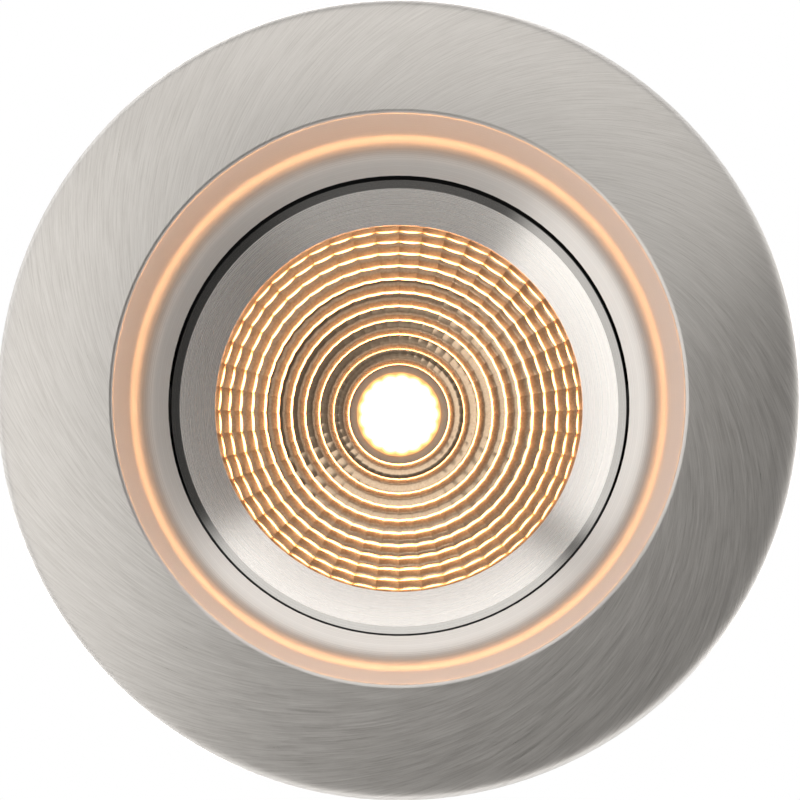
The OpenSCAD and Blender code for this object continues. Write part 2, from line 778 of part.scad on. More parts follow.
// Cup between the ball ring and the heat sink, with cooling grooves
module lamp_housing() {
    inner_r = body_r - housing_wall;
    spigot_r = seat_r - seat_fit;
    color("silver")
        difference() {
            rotate_extrude()
                polygon(concat(
                    [[spigot_r - housing_wall, rim_z + rim_t], [spigot_r, rim_z + rim_t],
                     [spigot_r, ring_back_z], [body_r, ring_back_z]],
                    [for (i = [0:groove_count - 1])
                        let (z = ring_back_z + groove_pitch * (i + 1))
                            each [[body_r, z - groove_w / 2], [body_r - groove_depth, z - groove_w / 4],
                                  [body_r - groove_depth, z + groove_w / 4], [body_r, z + groove_w / 2]]],
                    [[body_r, sink_z], [holder_r + seat_fit + side_play, sink_z],
                     [holder_r + seat_fit + side_play, floor_z], [inner_r, floor_z],
                     [inner_r, ring_back_z + housing_wall],
                     [spigot_r - housing_wall, ring_back_z + housing_wall]]
                ));
            for (a = [90, 210, 330])
                rotate([0, 0, a])
                    translate([housing_screw_r, 0, floor_z - cut])
                        cylinder(h = floor_t + 2 * cut, r = big_screw_r + hole_fit);
            rotate([0, 0, 270])
                translate([grommet_at, 0, floor_z - cut])
                    cylinder(h = floor_t + 2 * cut, r = grommet_low_r + seat_fit);
        }
}

// Three screws from inside the housing into the heat sink
module housing_screws() {
    color("gainsboro")
        for (a = [90, 210, 330])
            rotate([0, 0, a])
                translate([housing_screw_r, 0, floor_z])
                    mirror([0, 0, 1])
                        screw(big_screw_r, big_head_r, floor_t + housing_thread);
}

// Plastic ring that presses the board against the heat sink
module led_holder() {
    color("white")
        difference() {
            translate([0, 0, holder_z])
                cylinder(h = sink_z - holder_z, r = holder_r);
            translate([0, 0, holder_z - cut])
                cylinder(h = cut + thread_fit, r = holder_cone_r);
            translate([0, 0, holder_z])
                cylinder(h = holder_front, r1 = holder_cone_r, r2 = holder_hole_r);
            translate([0, 0, board_z - seat_fit / 2])
                cylinder(h = sink_z - board_z + cut, r = holder_hole_r);
            translate([-board_side / 2 - seat_fit, -board_side / 2 - seat_fit, board_z])
                cube([board_side + 2 * seat_fit, board_side + 2 * seat_fit, sink_z - board_z + cut]);
            for (side = [-1, 1])
                translate([side * holder_screw_r, 0, holder_z - cut]) {
                    cylinder(h = cut + holder_sink, r = small_head_r + hole_fit);
                    cylinder(h = sink_z - holder_z + 2 * cut, r = small_screw_r + hole_fit);
                }
        }
}

// Two screws of the holder
module holder_screws() {
    color("gainsboro")
        for (side = [-1, 1])
            translate([side * holder_screw_r, 0, holder_z + holder_sink])
                mirror([0, 0, 1])
                    screw(small_screw_r, small_head_r, sink_z - holder_z - holder_sink + holder_thread);
}

// Square ceramic board of the light source
module led_board() {
    color("beige")
        translate([-board_side / 2, -board_side / 2, board_z])
            cube([board_side, board_side, board_t]);
}

// Glowing phosphor disc on the board
module led_phosphor() {
    color("gold")
        translate([0, 0, board_z - phosphor_t])
            cylinder(h = phosphor_t, r = phosphor_r);
}

// Heat pad between the board and the heat sink
module thermal_pad() {
    color("slategray")
        translate([-board_side / 2, -board_side / 2, pad_z])
            cube([board_side, board_side, pad_t]);
}

// Heat sink: plate, core and radial fins, with a way for the cable
module heat_sink() {
    color("silver")
        difference() {
            union() {
                translate([0, 0, sink_z])
                    cylinder(h = sink_plate_t, r = body_r);
                difference() {
                    intersection() {
                        translate([0, 0, fins_z - cut])
                            linear_extrude(fin_h + cut)
                                union() {
                                    circle(core_r);
                                    for (i = [0:fin_count - 1])
                                        rotate(360 * (i + 1 / 2) / fin_count)
                                            translate([0, -fin_t / 2])
                                                square([body_r + cut, fin_t]);
                                }
                        rotate_extrude()
                            polygon([
                                [0, sink_z], [body_r, sink_z], [body_r, fins_z + fin_h - fin_bevel],
                                [body_r - fin_bevel, fins_z + fin_h], [0, fins_z + fin_h]
                            ]);
                    }
                    translate([-slot_half_w, -body_r - cut, fins_z])
                        cube([2 * slot_half_w, body_r + cut - slot_start, fin_h + cut]);
                }
            }
            for (a = [90, 210, 330])
                rotate([0, 0, a])
                    translate([housing_screw_r, 0, sink_z - cut])
                        cylinder(h = housing_thread + head_h / 2 + cut, r = big_screw_r + thread_fit);
            for (side = [-1, 1])
                translate([side * holder_screw_r, 0, sink_z - cut])
                    cylinder(h = holder_thread + cut + seat_fit, r = small_screw_r + thread_fit);
            rotate([0, 0, 270])
                translate([grommet_at, 0, sink_z - cut])
                    cylinder(h = sink_plate_t + 2 * cut, r = cable_r + grommet_waist + thread_fit);
        }
}

// Rubber grommet that leads the cable out of the head
module cable_grommet() {
    waist_r = cable_r + grommet_waist;
    color("black")
        rotate([0, 0, 270])
            translate([grommet_at, 0, 0])
                rotate_extrude()
                    polygon([
                        [cable_r, sink_z - grommet_low_t], [grommet_low_r, sink_z - grommet_low_t],
                        [grommet_low_r, sink_z - thread_fit], [waist_r, sink_z - thread_fit],
                        [waist_r, fins_z], [waist_r + grommet_flange, fins_z],
                        [waist_r + grommet_flange, fins_z + grommet_top_t / 2],
                        [grommet_low_r, fins_z + grommet_top_t], [cable_r, fins_z + grommet_top_t]
                    ]);
}

trim_ring();
ceiling_gasket();
side_bracket(-1);  // side_bracket_left
side_bracket(1);  // side_bracket_right
bracket_screws();
clip_pin(-1);  // clip_pin_left
clip_pin(1);  // clip_pin_right
clip_spring(-1);  // clip_spring_left
clip_spring(1);  // clip_spring_right
clip_arm(-1);  // clip_arm_left
clip_arm(1);  // clip_arm_right
clip_sleeve(-1);  // clip_sleeve_left
clip_sleeve(1);  // clip_sleeve_right
head_ring();
friction_washers();
retaining_rings();
glass_seal();
cover_glass();
reflector();
lamp_housing();
housing_screws();
led_holder();
holder_screws();
led_board();
led_phosphor();
thermal_pad();
heat_sink();
cable_grommet();
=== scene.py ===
"""Recessed ceiling spotlight from below: brushed trim, turned dish, ball head with a faceted reflector."""
import json
import math

import bpy
import numpy as np
from mathutils import Matrix, Vector


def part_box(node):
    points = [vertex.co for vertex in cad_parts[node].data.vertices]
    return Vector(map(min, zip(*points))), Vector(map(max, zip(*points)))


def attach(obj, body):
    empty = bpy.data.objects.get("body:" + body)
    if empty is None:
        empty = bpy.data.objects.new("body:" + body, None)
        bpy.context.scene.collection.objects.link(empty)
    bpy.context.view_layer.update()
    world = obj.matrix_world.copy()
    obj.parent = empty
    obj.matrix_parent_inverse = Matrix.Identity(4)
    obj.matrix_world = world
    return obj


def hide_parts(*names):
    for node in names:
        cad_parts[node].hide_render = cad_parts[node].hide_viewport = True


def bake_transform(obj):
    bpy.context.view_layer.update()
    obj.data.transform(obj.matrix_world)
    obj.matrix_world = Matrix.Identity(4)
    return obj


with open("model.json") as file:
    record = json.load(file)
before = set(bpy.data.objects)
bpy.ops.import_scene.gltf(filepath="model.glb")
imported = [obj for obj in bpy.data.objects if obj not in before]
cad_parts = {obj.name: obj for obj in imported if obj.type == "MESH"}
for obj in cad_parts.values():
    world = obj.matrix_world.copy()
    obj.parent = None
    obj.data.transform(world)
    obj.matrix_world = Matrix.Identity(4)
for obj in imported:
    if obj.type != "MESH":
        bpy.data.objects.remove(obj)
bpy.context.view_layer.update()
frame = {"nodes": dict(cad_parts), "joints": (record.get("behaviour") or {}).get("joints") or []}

MM = 0.001
NODES = frame["nodes"]
PIVOTS = {joint["name"]: [v / MM for v in joint["pos_m"]] for joint in frame["joints"]}
scene = bpy.context.scene


def corners(node):
    """The lowest and the highest corner of a CAD node, in millimetres."""
    return [[v / MM for v in corner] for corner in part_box(node)]


# Heights and radii of the CAD model, in millimetres. The plain numbers follow its source
FLANGE_W = 9.5
NECK_WALL = 2.8
MOUTH_ROUND = 0.45
BALL_R = 24.9
BEVEL_R = 23.8
LIGHT_R = 20.0
RIM_T = 1.2
BOWL_WALL = 0.9
BOWL_OVER = 0.4
HOLE_MARGIN = 0.85
TRIM_R = corners("trim_ring")[1][0]
FACE_Z = corners("trim_ring")[0][2]
MOUTH_R = TRIM_R - FLANGE_W - NECK_WALL
PIVOT_Z = PIVOTS["head_tilt"][2]
CLIP_X, _, CLIP_Z = PIVOTS["clip_right_fold"]
RIM_Z = corners("reflector")[0][2]
RIM_R = corners("reflector")[1][0]
BOWL_DEPTH = corners("reflector")[1][2] - RIM_Z
BOWL_R = LIGHT_R + BOWL_OVER
PHOSPHOR_R = corners("led_phosphor")[1][0]
HOLE_R = PHOSPHOR_R + HOLE_MARGIN


# ---------------------------------------------------------------- node helper

def colour(value):
    return (*value, 1.0)


class Graph:
    """A material's or world's node tree, with short calls for what is used most."""

    # A Mix node's first input and its output, for each kind of value
    MIXED = {"FLOAT": (2, 0), "VECTOR": (4, 1), "RGBA": (6, 2)}

    def __init__(self, owner):
        owner.use_nodes = True
        self.owner = owner
        self.tree = owner.node_tree
        self.tree.nodes.clear()

    def feed(self, socket, value):
        """Links another node's output to an input, or sets the input to a plain value."""
        if isinstance(value, bpy.types.NodeSocket):
            self.tree.links.new(value, socket)
        else:
            socket.default_value = value

    def node(self, kind, inputs=None, **settings):
        made = self.tree.nodes.new("ShaderNode" + kind)
        for name, value in settings.items():
            setattr(made, name, value)
        for name, value in (inputs or {}).items():
            self.feed(made.inputs[name], value)
        return made

    def math(self, operation, *values):
        return self.node("Math", dict(enumerate(values)), operation=operation).outputs[0]

    def vector(self, operation, *values, out="Vector"):
        made = self.node("VectorMath", operation=operation)
        for i, value in enumerate(values):
            self.feed(made.inputs["Scale" if operation == "SCALE" and i == 1 else i], value)
        return made.outputs[out]

    def remap(self, value, start, end, to_start, to_end, kind="LINEAR"):
        made = self.node("MapRange", {"Value": value, "From Min": start, "From Max": end,
                                      "To Min": to_start, "To Max": to_end}, interpolation_type=kind)
        return made.outputs["Result"]

    def step(self, value, start, end):
        """0 before start, 1 after end, smooth between them; end may lie before start."""
        return self.remap(value, start, end, 0.0, 1.0, "SMOOTHSTEP")

    def mix(self, share, first, second, kind="RGBA"):
        """From first to second as share goes from 0 to 1."""
        start, out = self.MIXED[kind]
        return self.node("Mix", {0: share, start: first, start + 1: second}, data_type=kind).outputs[out]

    def ramp(self, value, stops):
        made = self.node("ValToRGB", {"Fac": value})
        points = made.color_ramp.elements
        while len(points) < len(stops):
            points.new(0.5)
        for point, (at, shade) in zip(points, stops):
            point.position = at
            point.color = colour(shade)
        return made.outputs["Color"]

    def between(self, value, dark, light, low=0.3, high=0.7):
        """From the dark to the light shade over the part of a noise's range that it mostly takes."""
        return self.ramp(value, [(low, dark), (high, light)])

    def noise(self, vector, scale, detail, rough):
        inputs = {"Vector": vector, "Scale": scale, "Detail": detail, "Roughness": rough}
        return self.node("TexNoise", inputs, noise_dimensions="3D").outputs[0]

    def lines(self, along, pitch):
        """Fine lathe lines, 0 to 1, at a pitch in millimetres along a length."""
        inputs = {"W": along, "Scale": 1.0 / pitch, "Detail": 3.0, "Roughness": 0.65}
        return self.node("TexNoise", inputs, noise_dimensions="1D").outputs[0]

    def point(self):
        """The point on the object in millimetres."""
        return self.vector("SCALE", self.node("TexCoord").outputs["Object"], 1 / MM)

    def bump(self, height, strength, distance, **more):
        """A relief so many millimetres high."""
        inputs = {"Strength": strength, "Distance": distance * MM, "Height": height, **more}
        return self.node("Bump", inputs).outputs[0]

    def principled(self, **inputs):
        return self.node("BsdfPrincipled", {name.replace("_", " "): value for name, value in inputs.items()})

    def finish(self, shader, kind="OutputMaterial"):
        self.tree.links.new(shader.outputs[0], self.node(kind).inputs["Surface"])
        return self.owner


class Place:
    """A point on the object in millimetres: at, or x, y and z. flat leaves out z, and r is flat's length."""

    def __init__(self, g):
        self.at = g.point()
        self.x, self.y, self.z = g.node("SeparateXYZ", {0: self.at}).outputs[:3]
        self.flat = g.vector("MULTIPLY", self.at, (1.0, 1.0, 0.0))
        self.r = g.vector("LENGTH", self.flat, out="Value")


def material(name):
    return Graph(bpy.data.materials.new(name))


def paint(names, made):
    """Gives CAD nodes or pieces this material in place of the one they came with."""
    for name in names:
        obj = NODES[name] if isinstance(name, str) else name
        obj.data.materials.clear()
        obj.data.materials.append(made)


# ---------------------------------------------------------------- mesh helpers

def new_mesh(name, points, faces, smooth=False):
    mesh = bpy.data.meshes.new(name)
    mesh.from_pydata([tuple(p) for p in points], [], [tuple(f) for f in faces])
    mesh.polygons.foreach_set("use_smooth", [smooth] * len(mesh.polygons))
    mesh.update()
    obj = bpy.data.objects.new(name, mesh)
    scene.collection.objects.link(obj)
    return obj


def circle(r, z, sides):
    """Points spread evenly round the axis."""
    turns = [2 * math.pi * k / sides for k in range(sides)]
    return [(r * math.cos(a), r * math.sin(a), z) for a in turns]


def band(first, second, count):
    """Faces between two closed rings of points. The rings are numbered and have count points each."""
    return [(first * count + k, first * count + (k + 1) % count,
             second * count + (k + 1) % count, second * count + k) for k in range(count)]


# ---------------------------------------------------------------- camera

# Distance and half the view's width are in metres. The camera looks at AIM, in millimetres, from a point a
# little off the axis towards the photograph's foot
CAMERA_DISTANCE = 0.7
CAMERA_TILT = math.radians(3.41)
HALF_VIEW = 0.0424
AIM = (-0.12, -0.24, FACE_Z)
SENSOR_WIDTH = 36.0
CLIP_START = 0.01


def build_camera():
    data = bpy.data.cameras.new("camera")
    camera = bpy.data.objects.new("camera", data)
    scene.collection.objects.link(camera)
    bpy.context.scene.camera = camera
    data.sensor_fit = "HORIZONTAL"
    data.sensor_width = SENSOR_WIDTH
    data.lens = SENSOR_WIDTH / 2 * CAMERA_DISTANCE / HALF_VIEW
    data.clip_start = CLIP_START
    target = Vector(AIM) * MM
    eye = target + CAMERA_DISTANCE * Vector((0.0, -math.sin(CAMERA_TILT), -math.cos(CAMERA_TILT)))
    forward = (target - eye).normalized()
    right = forward.cross(Vector((0.0, 1.0, 0.0))).normalized()
    up = right.cross(forward)
    rows = [(right[i], up[i], -forward[i], eye[i]) for i in range(3)]
    camera.matrix_world = Matrix(rows + [(0.0, 0.0, 0.0, 1.0)])


# ---------------------------------------------------------------- stage and light

WHITE = (1.0, 1.0, 1.0)
FILL_LIGHT = 0.55
RING_SIDES = 96

# Floor, in millimetres but for its fade, which is in metres from the lamp
FLOOR_HOLE_R = 42.3
FLOOR_R = 2500.0
FLOOR_DROP = 0.04
FLOOR_FADE = (0.16, 0.40)
FLOOR_SHADE = (0.87, 0.87, 0.87)

# Dark ring behind the gap round the ball, a painted shade for the ceiling's cavity, in millimetres
VOID_INNER_R = BALL_R - 0.6
VOID_OUTER_R = BALL_R + 5.0
VOID_Z = PIVOT_Z + 1.2
VOID_PAINTED_SHADE = (0.01, 0.01, 0.01)

# Tent, a dome below the face: its radius in metres and how far up it reaches, in degrees from straight below
TENT_R = 0.9
TENT_REACH = 88.5
TENT_RINGS = 24
TENT_SIDES = 64
TENT_SHADE = (1.0, 0.985, 0.96)
# Its brightness at angles in degrees from straight below, up to TOP_LEVEL
TOP_LEVEL = 2.0
PANEL_LEVELS = [(6, 0.0), (16, 1.2), (42, 0.98), (56, 0.78), (62, 1.35), (67, 2.0), (72, 1.65)]
FOOT_LEVELS = [(20, 0.60), (40, 0.40), (54, 0.06), (58, 0.06), (66, 0.60), (72, 0.9)]
BASE_LEVELS = [(20, 0.20), (40, 0.13), (50, 0.04), (59, 0.04), (66, 0.2), (71, 0.65), (75, 1.6), (80, 1.7)]
# White panels: the azimuth of their middle and half their width, in degrees. Azimuth 0 is the photograph's
# right and 90 its top
PANELS = [(188, 46), (86, 48)]
PANEL_FEATHER = 8
FOOT_AZIMUTH = 250
FOOT_EDGE = (0.1, 0.7)
# Round the camera the tent is bright towards one azimuth and dim away from it
MIDDLE_AZIMUTH = 142
MIDDLE_EDGE = 0.10
MIDDLE_LEVELS = (0.12, 1.20)
MIDDLE_FADE = (30, 14)
# The camera and its holder are dark in the middle
CAMERA_LEVEL = 0.03
CAMERA_FADE = (7, 12)

# Lamps: name, place and size in metres, power in watts
LAMPS = [
    ("key_lamp", (0.55, -0.45, 0.75), 0.6, 7.0),
    ("fill_lamp", (-0.7, -0.1, 0.5), 0.7, 3.0),
    ("back_lamp", (0.1, 0.8, 0.6), 0.6, 4.0),
]
LAMP_AIM = (0.0, 0.0, 0.02)


def build_world():
    """White for the camera, in mirrors and through glass; an even light for the rest."""
    world = bpy.data.worlds.new("studio")
    scene.world = world
    g = Graph(world)
    path = g.node("LightPath")
    seen = g.math("MAXIMUM", path.outputs["Is Camera Ray"],
                  g.math("MAXIMUM", path.outputs["Is Glossy Ray"], path.outputs["Is Transmission Ray"]))
    white = g.node("Background", {"Color": colour(WHITE), "Strength": 1.0})
    fill = g.node("Background", {"Color": colour(WHITE), "Strength": FILL_LIGHT})
    g.finish(g.node("MixShader", {0: seen, 1: fill.outputs[0], 2: white.outputs[0]}), "OutputWorld")


def one_way_ring(name, inner, outer, z, shade, clearness):
    """Flat ring that faces up, in millimetres. clearness makes the nodes that say how clear it is, 0 to 1."""
    points = np.array(circle(inner, z, RING_SIDES) + circle(outer, z, RING_SIDES)) * MM
    ring = new_mesh(name, points, band(1, 0, RING_SIDES))
    g = material(name)
    solid = g.node("BsdfDiffuse", {"Color": colour(shade)})
    clear = g.node("BsdfTransparent")
    g.finish(g.node("MixShader", {0: clearness(g), 1: solid.outputs[0], 2: clear.outputs[0]}))
    ring.data.materials.append(g.owner)
    return ring


def from_below(g):
    return g.node("NewGeometry").outputs["Backfacing"]


def build_floor():
    """Pale floor that the lamp stands on with its face down. It is open under the lamp and clear from below.

    Far from the lamp the camera sees through it, so that no grey horizon shows in a level view.
    """
    def clearness(g):
        away = g.vector("LENGTH", g.node("TexCoord").outputs["Object"], out="Value")
        far = g.math("MULTIPLY", g.step(away, *FLOOR_FADE), g.node("LightPath").outputs["Is Camera Ray"])
        return g.math("MAXIMUM", from_below(g), far)

    floor = one_way_ring("floor", FLOOR_HOLE_R, FLOOR_R, FACE_Z - FLOOR_DROP, FLOOR_SHADE, clearness)


def build_void():
    """Dark sheet behind the gap round the ball, painted shade for the ceiling's void. It shows from below only and
    is clear from above.
    """
    def clearness(g):
        return g.math("SUBTRACT", 1.0, from_below(g))

    void = one_way_ring("ceiling_void_shade", VOID_INNER_R, VOID_OUTER_R, VOID_Z, VOID_PAINTED_SHADE, clearness)


def tent_light(g):
    """Brightness of the tent: white panels at the photograph's left and top, grey ones at its right and foot."""
    # Direction from the face's middle, its angle from straight below, and its part to the photograph's right
    centre = g.vector("SUBTRACT", g.node("TexCoord").outputs["Object"], (0.0, 0.0, FACE_Z * MM))
    x, y, z = g.node("SeparateXYZ", {0: g.vector("NORMALIZE", centre)}).outputs[:3]
    polar = g.math("MULTIPLY", g.math("ARCCOSINE", g.math("MULTIPLY", z, -1.0)), 180 / math.pi)
    side = g.math("MULTIPLY", x, -1.0)

    def around(azimuth):
        """Cosine of the angle round the view between a direction and this azimuth, times the distance off axis."""
        a = math.radians(azimuth)
        return g.math("ADD", g.math("MULTIPLY", side, math.cos(a)), g.math("MULTIPLY", y, math.sin(a)))

    def panel(azimuth, half_width):
        """How far a direction lies within a soft-edged panel, from 0 to 1."""
        off_axis = g.math("MAXIMUM", g.math("SINE", g.math("MULTIPLY", polar, math.pi / 180)), 0.001)
        off = g.math("MULTIPLY", g.math("ARCCOSINE", g.math("DIVIDE", around(azimuth), off_axis)), 180 / math.pi)
        return g.step(off, half_width + PANEL_FEATHER, half_width - PANEL_FEATHER)

    def by_height(levels):
        """A level that changes with the angle from straight below."""
        stops = [(angle / 90, (level / TOP_LEVEL,) * 3) for angle, level in levels]
        return g.math("MULTIPLY", g.ramp(g.math("DIVIDE", polar, 90.0), stops), TOP_LEVEL)

    panels = g.math("MAXIMUM", *(panel(*p) for p in PANELS))
    bright = g.math("MULTIPLY", panels, by_height(PANEL_LEVELS))
    slope = g.step(around(MIDDLE_AZIMUTH), -MIDDLE_EDGE, MIDDLE_EDGE)
    middle = g.math("MULTIPLY", g.remap(slope, 0.0, 1.0, *MIDDLE_LEVELS), g.step(polar, *MIDDLE_FADE))
    low_light = g.math("MULTIPLY", g.step(around(FOOT_AZIMUTH), *FOOT_EDGE), by_height(FOOT_LEVELS))
    level = g.math("MAXIMUM", bright, g.math("MAXIMUM", middle, low_light))
    level = g.math("MAXIMUM", level, by_height(BASE_LEVELS))
    return g.math("MULTIPLY", level, g.remap(g.step(polar, *CAMERA_FADE), 0.0, 1.0, CAMERA_LEVEL, 1.0))


def build_tent():
    """Studio tent below the face. The metals mirror it. The camera sees through it, and it casts no shadow."""
    points, faces = [], []
    for i in range(TENT_RINGS + 1):
        polar = math.radians(TENT_REACH) * i / TENT_RINGS
        points += circle(TENT_R * math.sin(polar), FACE_Z * MM - TENT_R * math.cos(polar), TENT_SIDES)
    for i in range(TENT_RINGS):
        faces += band(i, i + 1, TENT_SIDES)
    tent = new_mesh("tent", points, faces, True)
    g = material("tent")
    g.finish(g.node("Emission", {"Color": colour(TENT_SHADE), "Strength": tent_light(g)}))
    g.owner.cycles.emission_sampling = "NONE"
    tent.data.materials.append(g.owner)
    tent.visible_camera = False
    tent.visible_shadow = False


def add_lamp(name, place, size, power):
    data = bpy.data.lights.new(name, "AREA")
    data.size = size
    data.energy = power
    lamp = bpy.data.objects.new(name, data)
    lamp.location = place
    lamp.rotation_mode = "QUATERNION"
    lamp.rotation_quaternion = (Vector(LAMP_AIM) - Vector(place)).to_track_quat("-Z", "Y")
    scene.collection.objects.link(lamp)


scene.view_settings.view_transform = "Standard"
build_camera()
build_world()
build_floor()
build_void()
build_tent()
for lamp in LAMPS:
    add_lamp(*lamp)


# ---------------------------------------------------------------- trim

# Brush lines are spirals round a point beside the axis, at this angle to the circles round it
SWIRL_CENTRE = (-7.3, 1.0, 0.0)
SWIRL = math.radians(24.5)
# A stroke's length outwards in millimetres, and how fine strokes and broader patches are round the swirl
STROKE_LENGTH = 2.2
STROKES_ROUND = 110.0
PATCHES_ROUND = 22.0
FACE_SHADES = [(0.30, (0.60, 0.575, 0.545)), (0.52, (0.72, 0.695, 0.665)), (0.72, (0.80, 0.775, 0.745))]
FACE_ROUGH = 0.20
STROKE_ROUGH = 0.14
PATCH_ROUGH = 0.10

# Dark and light shade of the dish's lathe lines, in three painted tones of one metal: lighter at its edge by the
# gap (painted light), darker on its floor and its wall (painted shade that dims the lamp's glow)
DISH_PITCH = 0.16
EDGE_PAINTED_LIGHT = ((0.78, 0.75, 0.72), (0.93, 0.90, 0.87))
FLOOR_PAINTED_SHADE = ((0.57, 0.54, 0.52), (0.69, 0.66, 0.64))
WALL_PAINTED_SHADE = ((0.56, 0.545, 0.54), (0.69, 0.675, 0.67))
DISH_ROUGH = 0.38
WALL_ROUGH = 0.58
# Radii over which the painted light at the edge passes over to the floor's painted shade
PAINTED_LIGHT_FADE = (26.6, 27.6)
# Heights between which the dish's wall is a cone, and over which its rougher finish and its painted shade begin
# and end
WALL_LOW = FACE_Z + 0.5
WALL_HIGH = FACE_Z + 8.7
WALL_BEGIN = (WALL_LOW - 0.1, WALL_LOW + 0.3)
WALL_END = (WALL_HIGH + 0.5, WALL_HIGH - 1.5)
# Radii over which the dish's finish passes over to the face's
FACE_BEGIN = (MOUTH_R + 0.3 * MOUTH_ROUND, MOUTH_R + MOUTH_ROUND)


def round_normal(g, p, low, high):
    """The normal of a turned surface, free of the mesh's flat sides. Between two heights it is a plain cone."""
    geometry = g.node("NewGeometry")
    on_cone = g.math("MULTIPLY", g.math("GREATER_THAN", p.z, low), g.math("LESS_THAN", p.z, high))
    normal = g.mix(on_cone, geometry.outputs["Normal"], geometry.outputs["True Normal"], "VECTOR")
    outwards = g.vector("NORMALIZE", p.flat)
    level = g.vector("MULTIPLY", normal, (1.0, 1.0, 0.0))
    reach = g.math("MULTIPLY", g.vector("LENGTH", level, out="Value"),
                   g.math("SIGN", g.vector("DOT_PRODUCT", level, outwards, out="Value")))
    upright = g.vector("MULTIPLY", normal, (0.0, 0.0, 1.0))
    return g.vector("NORMALIZE", g.vector("ADD", upright, g.vector("SCALE", outwards, reach)))


def turned(g, vector, angle):
    """A vector turned about the vertical."""
    return g.node("VectorRotate", {"Vector": vector, "Angle": angle}, rotation_type="Z_AXIS").outputs[0]


def trim_metal():
    """Brushed flange and turned dish, rougher on the dish's wall, with painted light by the gap and painted shade
    on the dish's floor and wall.
    """
    g = material("brushed_trim")
    p = Place(g)
    # A point's direction from the swirl's centre, wound back so that it is the same all along a spiral
    arm = g.vector("SUBTRACT", p.flat, SWIRL_CENTRE)
    reach = g.vector("LENGTH", arm, out="Value")
    twist = g.math("MULTIPLY", g.math("LOGARITHM", reach, math.e), -1.0 / math.tan(SWIRL))
    wound = turned(g, g.vector("NORMALIZE", arm), twist)
    along = g.node("CombineXYZ", {2: g.math("DIVIDE", reach, STROKE_LENGTH)}).outputs[0]
    streaks = g.noise(g.vector("ADD", g.vector("SCALE", wound, STROKES_ROUND), along), 1.0, 4.0, 0.75)
    broad = g.noise(g.vector("ADD", g.vector("SCALE", wound, PATCHES_ROUND), along), 1.0, 2.0, 0.5)
    lines = g.lines(g.math("SUBTRACT", p.z, p.r), DISH_PITCH)
    on_face = g.step(p.r, *FACE_BEGIN)
    on_wall = g.math("MULTIPLY", g.step(p.z, *WALL_END), g.step(p.z, *WALL_BEGIN))

    # Painted light and shade on the dish: lighter by the gap, darker further out and on the wall
    shade = g.mix(g.step(p.r, *PAINTED_LIGHT_FADE), g.between(lines, *EDGE_PAINTED_LIGHT), g.between(lines, *FLOOR_PAINTED_SHADE))
    shade = g.mix(on_wall, shade, g.between(lines, *WALL_PAINTED_SHADE))
    shade = g.mix(on_face, shade, g.ramp(streaks, FACE_SHADES))

    uneven = g.math("ADD", g.math("MULTIPLY", streaks, STROKE_ROUGH), g.math("MULTIPLY", broad, PATCH_ROUGH))
    dish_rough = g.remap(on_wall, 0.0, 1.0, DISH_ROUGH, WALL_ROUGH)
    rough = g.mix(on_face, dish_rough, g.math("ADD", uneven, FACE_ROUGH), "FLOAT")

    face_tangent = g.vector("NORMALIZE", turned(g, arm, -SWIRL))
    tangent = g.vector("NORMALIZE", g.mix(on_face, g.vector("NORMALIZE", p.flat), face_tangent, "VECTOR"))
    relief = g.bump(g.mix(on_face, lines, streaks, "FLOAT"), 0.25, 0.02,
                    Normal=round_normal(g, p, WALL_LOW, WALL_HIGH))
    return g.finish(g.principled(Base_Color=shade, Metallic=1.0, Roughness=rough, Anisotropic=0.72,
                                 Tangent=tangent, Normal=relief))


# ---------------------------------------------------------------- ring, reflector, glass and lit disc

RING_PITCH = 0.11
RING_SHADES = ((0.78, 0.755, 0.73), (0.93, 0.905, 0.88))
RING_ROUGH = (0.2, 0.32)
# The bevel's darker tone is painted shade on the same turned metal
BEVEL_PAINTED_SHADE = (0.57, 0.555, 0.535)
BEVEL_ROUGH = 0.14
BEVEL_BEGIN = (BEVEL_R - 0.05, BEVEL_R + 0.05)
# The ball's outside is black as painted shade: in the ceiling it sits in a dark cavity
BALL_PAINTED_SHADE = (0.012, 0.012, 0.012)
BALL_SHADE_ROUGH = 0.6
# Distances from the ball's centre over which the ring turns black: painted shade on the ball's outside
BALL_SHADE_BEGIN = (BALL_R - 0.08, BALL_R - 0.04)

# The reflector's warm orange tint is painted light: the lit disc's warm glow on a neutral metal
MIRROR_PAINTED_WARM_LIGHT = ((0.90, 0.62, 0.42), (0.95, 0.69, 0.49))
MIRROR_ROUGH = 0.09
HAZE_ROUGH = 0.34
HAZE_SHARE = (0.26, 0.34)

GLASS_SHADE = (0.97, 0.985, 0.98)
GLASS_TINTS = ((0.95, 0.965, 0.96), (0.97, 0.98, 0.975))

# The glow's edge has lobes round the disc, where the chips lie. They are LOBE_DEPTH deep, on a circle drawn in
# by EDGE_INSET, in millimetres. Shares of the disc's radius give the colours and the power
LOBES = 17
LOBE_DEPTH = 0.22
EDGE_INSET = 0.1
GLOW_COLOURS = [(0.0, (1.0, 0.50, 0.25)), (0.80, (1.0, 0.50, 0.25)), (0.88, (1.0, 0.52, 0.17)),
                (0.96, (1.0, 0.42, 0.12)), (1.0, (0.7, 0.30, 0.12))]
GLOW_EDGE = (0.74, 0.97)
GLOW_POWER = (16.0, 1.0)
PHOSPHOR_SHADE = (0.9, 0.75, 0.35)


